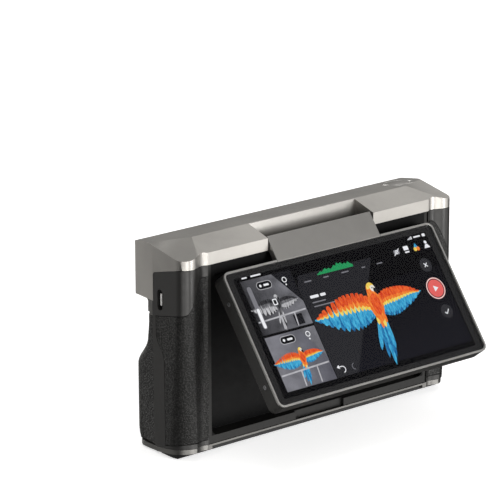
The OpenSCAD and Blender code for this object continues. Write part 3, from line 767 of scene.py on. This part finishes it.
def draw_screen():
    ground = Drawing("screen_picture_ground")
    ground.rect(-69.8, 69.8, -35.0, 35.0, "ui_black", 0, 1.0)
    ground.poly([(-30.4, -31.5), (-15.2, -31.5), (21.5, 22.0), (25.5, 28.0), (-27.5, 28.0), (-30.4, 22.0)],
                "ui_view", 1)
    ground.poly([(-15.2, -31.5), (68.5, -31.5), (68.5, 14.0), (16.1, 14.0)], "ui_dark", 1)
    ground.done()

    thumbs = Drawing("screen_thumbnails")
    thumbs.rect(-65.6, -30.8, 1.0, 32.4, "thumb_grey", 2)
    thumbs.rect(-65.6, -30.8, -31.5, -0.4, "thumb_mist", 2)
    thumbs.poly([(-44, 32.4), (-30.8, 32.4), (-30.8, 14)], "thumb_shade", 3)
    thumbs.poly([(-42, -0.4), (-30.8, -0.4), (-30.8, -18)], "thumb_grey", 3)
    bird(thumbs, -47.5, 15.8, 0.42, MONO, 4)
    bird(thumbs, -46.8, -15.5, 0.44, COLOURS, 4)
    for y in (8.4, -22.6):
        thumbs.line(-65.0, y, -31.5, y + 1.2, 0.9, "thumb_pale", 9)
    for x, y0, y1 in ((-50, 1.6, 8.5), (-40.5, 1.6, 9.0), (-52, -31, -22.4), (-41, -31, -22)):
        thumbs.line(x, y0, x + 0.8, y1, 0.8, "thumb_pale", 9)
    thumbs.rect(-41.5, -35.5, 2.0, 8.0, "thumb_shade", 8)
    thumbs.rect(-63.4, -60.6, 4.2, 28.6, "ui_grey", 12, 1.3)
    thumbs.rect(-63.0, -61.0, 4.6, 16.0, "ui_white", 13, 0.95)
    for y in (27.6, -4.2):
        thumbs.rect(-56.6, -46.2, y - 2.3, y + 2.3, "thumb_pale", 12, 2.2)
        thumbs.rect(-56.3, -46.5, y - 2.0, y + 2.0, "ui_tag", 13, 1.95)
        thumbs.disc(-54.0, y, 0.8, "ui_white", 14, 12)
        thumbs.rect(-51.8, -48.2, y - 0.6, y + 0.6, "ui_white", 14, 0.4)
        thumbs.ring(-37.2, y + 0.2, 1.1, 1.6, "ui_white", 14)
        thumbs.disc(-37.2, y - 2.6, 0.5, "ui_white", 14, 10)
    thumbs.rect(-50.6, -47.6, 15.4, 19.0, "ui_white", 14, 0.5)
    thumbs.rect(-50.0, -48.2, 16.0, 18.4, "thumb_shade", 15, 0.3)
    thumbs.done()

    flyer = Drawing("screen_bird")
    bird(flyer, 15.6, 2.0, 0.98, COLOURS, 4)
    flyer.done()

    marks = Drawing("screen_controls")
    heights = [0.6, 1.0, 1.8, 1.3, 2.2, 2.9, 2.0, 2.6, 1.6, 2.3, 3.4, 2.7, 4.4, 3.3, 4.0, 2.6, 3.2, 2.4, 3.6,
               2.0, 1.4]
    for k, (a, b) in enumerate(zip(heights, heights[1:])):
        x0 = -14.5 + 25.8 * k / (len(heights) - 1)
        x1 = -14.5 + 25.8 * (k + 1) / (len(heights) - 1)
        marks.poly([(x0, 25.6), (x1, 25.6), (x1, 25.6 + b), (x0, 25.6 + a)], "ui_green", 5)
    for x, w in ((-9.5, 3.8), (4.2, 5.2), (-22.5, 5.0), (17.6, 2.6), (29.5, 4.2)):
        marks.rect(x - w / 2, x + w / 2, 23.3, 24.0, "ui_grey", 5, 0.3)
    marks.rect(-25.5, -19.5, 14.0, 15.6, "ui_white", 5, 0.5)
    marks.rect(-18.3, -14.6, 14.0, 15.6, "ui_white", 5, 0.5)
    marks.rect(-25.5, -16.0, 11.2, 11.9, "ui_grey", 5, 0.3)
    marks.rect(-25.5, -9.0, 8.9, 9.6, "ui_grey", 5, 0.3)
    # status marks
    marks.rect(66.2, 68.4, 32.2, 33.9, "ui_white", 5, 0.4)
    marks.rect(59.8, 64.8, 32.6, 33.5, "ui_white", 5, 0.3)
    for k in range(4):
        marks.rect(55.2 + 0.9 * k, 55.8 + 0.9 * k, 32.2, 32.7 + 0.4 * k, "ui_white", 5)
    marks.rect(-63.8, -60.2, 33.5, 34.3, "ui_white", 5, 0.3)
    marks.rect(-57.6, -50.6, 33.5, 34.4, "ui_white", 5, 0.3)
    # icon row: camera, layers, drop, person
    marks.rect(42.0, 46.2, 25.8, 28.6, "ui_grey", 5, 0.8)
    marks.ring(44.1, 27.2, 0.75, 1.15, "ui_white", 6)
    marks.line(41.8, 25.4, 46.4, 29.0, 0.45, "ui_white", 7)
    marks.rect(49.6, 53.2, 27.0, 29.4, "ui_white", 5, 0.4)
    marks.rect(49.8, 53.0, 25.4, 26.3, "ui_white", 5, 0.3)
    marks.poly([(58.6, 29.8), (60.9, 25.9), (56.4, 25.9)], "feather_blue", 5)
    marks.disc(59.7, 26.3, 1.2, "feather_orange", 6, 14)
    marks.disc(57.7, 26.3, 1.2, "feather_yellow", 6, 14)
    marks.disc(66.4, 28.8, 1.0, "ui_white", 5, 14)
    marks.poly([(64.3, 25.4), (68.6, 25.4), (67.2, 27.6), (65.6, 27.6)], "ui_white", 5)
    # round buttons
    marks.disc(59.9, 16.2, 4.1, "ui_button", 5)
    for s in (-1, 1):
        marks.line(59.9 - 1.1, 16.2 - 1.1 * s, 59.9 + 1.1, 16.2 + 1.1 * s, 0.55, "ui_white", 6)
    marks.disc(59.7, 2.1, 5.2, "ui_red", 5, 36)
    marks.ring(59.7, 2.1, 5.7, 6.35, "ui_pink", 5, steps=40)
    marks.poly([(58.5, 0.3), (61.6, 2.1), (58.5, 3.9)], "ui_white", 6)
    marks.disc(60.3, -12.0, 4.1, "ui_button", 5)
    marks.line(58.8, -12.2, 60.0, -13.4, 0.55, "ui_white", 6)
    marks.line(59.9, -13.4, 62.0, -10.9, 0.55, "ui_white", 6)
    # undo arrow and its pale twin
    marks.ring(-24.6, -27.6, 1.5, 2.0, "ui_white", 5, -90, 90, 12)
    marks.line(-24.6, -25.85, -27.2, -25.85, 0.5, "ui_white", 5)
    marks.poly([(-28.2, -25.85), (-26.4, -24.6), (-26.4, -27.1)], "ui_white", 5)
    marks.ring(-16.2, -27.6, 1.5, 1.9, "ui_grey", 5, 90, 270, 12)
    marks.done()


draw_screen()


def border_print():
    """Black print on the underside of the screen glass, as a frame round the picture."""
    bm = bmesh.new()
    turn = Matrix.Translation(HINGE) @ Matrix.Rotation(-TILT, 4, "X")

    def outline(hw, hh, r, y):
        pts = []
        for sx, sz, a0 in ((1, 1, 0), (-1, 1, 90), (-1, -1, 180), (1, -1, 270)):
            for k in range(7):
                a = math.radians(a0 + 15 * k)
                pts.append((sx * (hw - r) + r * math.cos(a), sz * (hh - r) + r * math.sin(a)))
        return [bm.verts.new(turn @ (Vector((x, y, SCREEN_C + z)) * MM)) for x, z in pts]

    y0, y1 = OUT_Y + 1.215, OUT_Y + 1.245
    a, b = outline(74.0, 37.5, 2.6, y0), outline(69.4, 34.6, 1.0, y0)
    c, d = outline(74.0, 37.5, 2.6, y1), outline(69.4, 34.6, 1.0, y1)
    n = len(a)
    for p, q in ((a, b), (b, d), (d, c), (c, a)):
        for i in range(n):
            j = (i + 1) % n
            bm.faces.new((p[i], p[j], q[j], q[i]))
    finish_mesh("screen_border_print", bm, "black", "screen", smooth=False)


border_print()


# ---------------------------------------------------------------- stage, light and camera

def stage_set():
    me = bpy.data.meshes.new("floor")
    s = 14.0
    me.from_pydata([(-s, -s, 0), (s, -s, 0), (s, s, 0), (-s, s, 0)], [], [(0, 1, 2, 3)])
    floor = bpy.data.objects.new("floor", me)
    bpy.context.scene.collection.objects.link(floor)
    floor.location.z = -0.0002
    sh = Shader("floor_paper")
    diff = sh.node("ShaderNodeBsdfDiffuse", Color=(0.90, 0.90, 0.90), Roughness=0.6)
    lift = sh.node("ShaderNodeEmission", Color=(1, 1, 1), Strength=0.62)
    add = sh.node("ShaderNodeAddShader")
    sh.put(add.inputs[0], diff.outputs[0])
    sh.put(add.inputs[1], lift.outputs[0])
    me.materials.append(sh.surface(add.outputs[0]))
    floor.visible_glossy = False


def world():
    """Soft studio round the object: a dim grey room with a few broad bright lobes."""
    w = bpy.data.worlds.new("studio")
    bpy.context.scene.world = w
    w.use_nodes = True
    t = w.node_tree
    t.nodes.clear()
    out = t.nodes.new("ShaderNodeOutputWorld")
    geo = t.nodes.new("ShaderNodeNewGeometry")

    def lobe(direction, low, high, strength):
        d = t.nodes.new("ShaderNodeVectorMath")
        d.operation = "DOT_PRODUCT"
        t.links.new(geo.outputs["Incoming"], d.inputs[0])
        v = Vector(direction).normalized()
        d.inputs[1].default_value = (-v.x, -v.y, -v.z)
        m = t.nodes.new("ShaderNodeMapRange")
        m.interpolation_type = "SMOOTHSTEP"
        t.links.new(d.outputs["Value"], m.inputs[0])
        for i, x in zip((1, 2, 3, 4), (low, high, 0.0, strength)):
            m.inputs[i].default_value = x
        return m.outputs["Result"]

    lobes = [lobe((0.627, -0.727, -0.28), 0.80, 0.985, 1.7),
             lobe((0.10, -0.95, -0.28), 0.80, 0.985, 1.5),
             lobe((-0.75, -0.60, -0.26), 0.92, 0.995, 3.0),
             lobe((-0.30, -0.91, -0.28), 0.93, 0.995, 4.5),
             lobe((0.627, 0.673, 0.394), 0.985, 0.999, 0.9),
             lobe((0.80, -0.15, 0.58), 0.74, 1.0, 0.62),
             lobe((0.0, 0.0, 1.0), 0.2, 1.0, 0.10),
             lobe((0.78, 0.33, 0.53), 0.86, 1.0, 0.85),
             lobe((-0.607, -0.662, 0.44), 0.75, 1.0, 0.65),
             lobe((-0.15, 0.98, 0.10), 0.90, 0.995, 3.2),
             lobe((-0.62, 0.72, -0.28), 0.6, 1.0, 0.30),
             lobe((0.62, 0.77, 0.06), 0.6, 1.0, 0.16),
             lobe((-0.25, 0.70, 0.50), 0.5, 1.0, 0.26)]
    total = lobes[0]
    for x in lobes[1:]:
        a = t.nodes.new("ShaderNodeMath")
        t.links.new(total, a.inputs[0])
        t.links.new(x, a.inputs[1])
        total = a.outputs[0]
    base = t.nodes.new("ShaderNodeMath")
    base.inputs[1].default_value = 0.035
    t.links.new(total, base.inputs[0])
    bg = t.nodes.new("ShaderNodeBackground")
    bg.inputs["Color"].default_value = (1.0, 0.985, 0.96, 1)
    t.links.new(base.outputs[0], bg.inputs["Strength"])
    plain = t.nodes.new("ShaderNodeBackground")
    plain.inputs["Color"].default_value = (1, 1, 1, 1)
    plain.inputs["Strength"].default_value = 1.0
    path = t.nodes.new("ShaderNodeLightPath")
    mix = t.nodes.new("ShaderNodeMixShader")
    t.links.new(path.outputs["Is Camera Ray"], mix.inputs[0])
    t.links.new(bg.outputs[0], mix.inputs[1])
    t.links.new(plain.outputs[0], mix.inputs[2])
    t.links.new(mix.outputs[0], out.inputs["Surface"])


def softbox(name, at, to, w, h, power):
    li = bpy.data.lights.new(name, "AREA")
    li.shape = "RECTANGLE"
    li.size, li.size_y = w, h
    li.energy = power
    li.spread = math.pi
    o = bpy.data.objects.new(name, li)
    bpy.context.scene.collection.objects.link(o)
    o.location = at
    o.rotation_euler = (Vector(to) - Vector(at)).to_track_quat("-Z", "Y").to_euler()


def camera():
    """The photograph's viewing angle, from a fit that took the object's width and height as given."""
    fit_centre, fit_offset, fit_focal_px, frame_px = (0, -1, 60), (25.3, -33.5, -1865.6), 3416, 500
    az, el, roll = (math.radians(x) for x in (-40.74, 16.27, -0.17))
    back = Vector((math.sin(az) * math.cos(el), -math.cos(az) * math.cos(el), math.sin(el)))
    right = Vector((math.cos(az), math.sin(az), 0))
    up = back.cross(right)
    r2 = math.cos(roll) * right + math.sin(roll) * up
    u2 = -math.sin(roll) * right + math.cos(roll) * up
    turn = Matrix((r2, u2, back)).transposed()
    place = (Vector(fit_centre) - turn @ Vector(fit_offset)) * MM
    cam = bpy.data.cameras.new("camera")
    cam.sensor_width = 36
    cam.lens = fit_focal_px / frame_px * cam.sensor_width
    cam.clip_start, cam.clip_end = 0.05, 60
    o = bpy.data.objects.new("camera", cam)
    bpy.context.scene.collection.objects.link(o)
    o.matrix_world = Matrix.Translation(place) @ turn.to_4x4()
    bpy.context.scene.camera = o


stage_set()
world()
softbox("rear_strip", (0.50, -1.25, 0.22), (-0.05, 0, 0.06), 0.22, 1.1, 12)
softbox("top_wide", (0.0, 0.0, 1.3), (0, 0, 0), 0.9, 0.9, 5)
softbox("front_strip", (0.25, 1.35, 0.50), (0, 0, 0.06), 0.25, 0.9, 4)
camera()
scene = bpy.context.scene
scene.view_settings.view_transform = "Standard"
scene.cycles.use_denoising = True
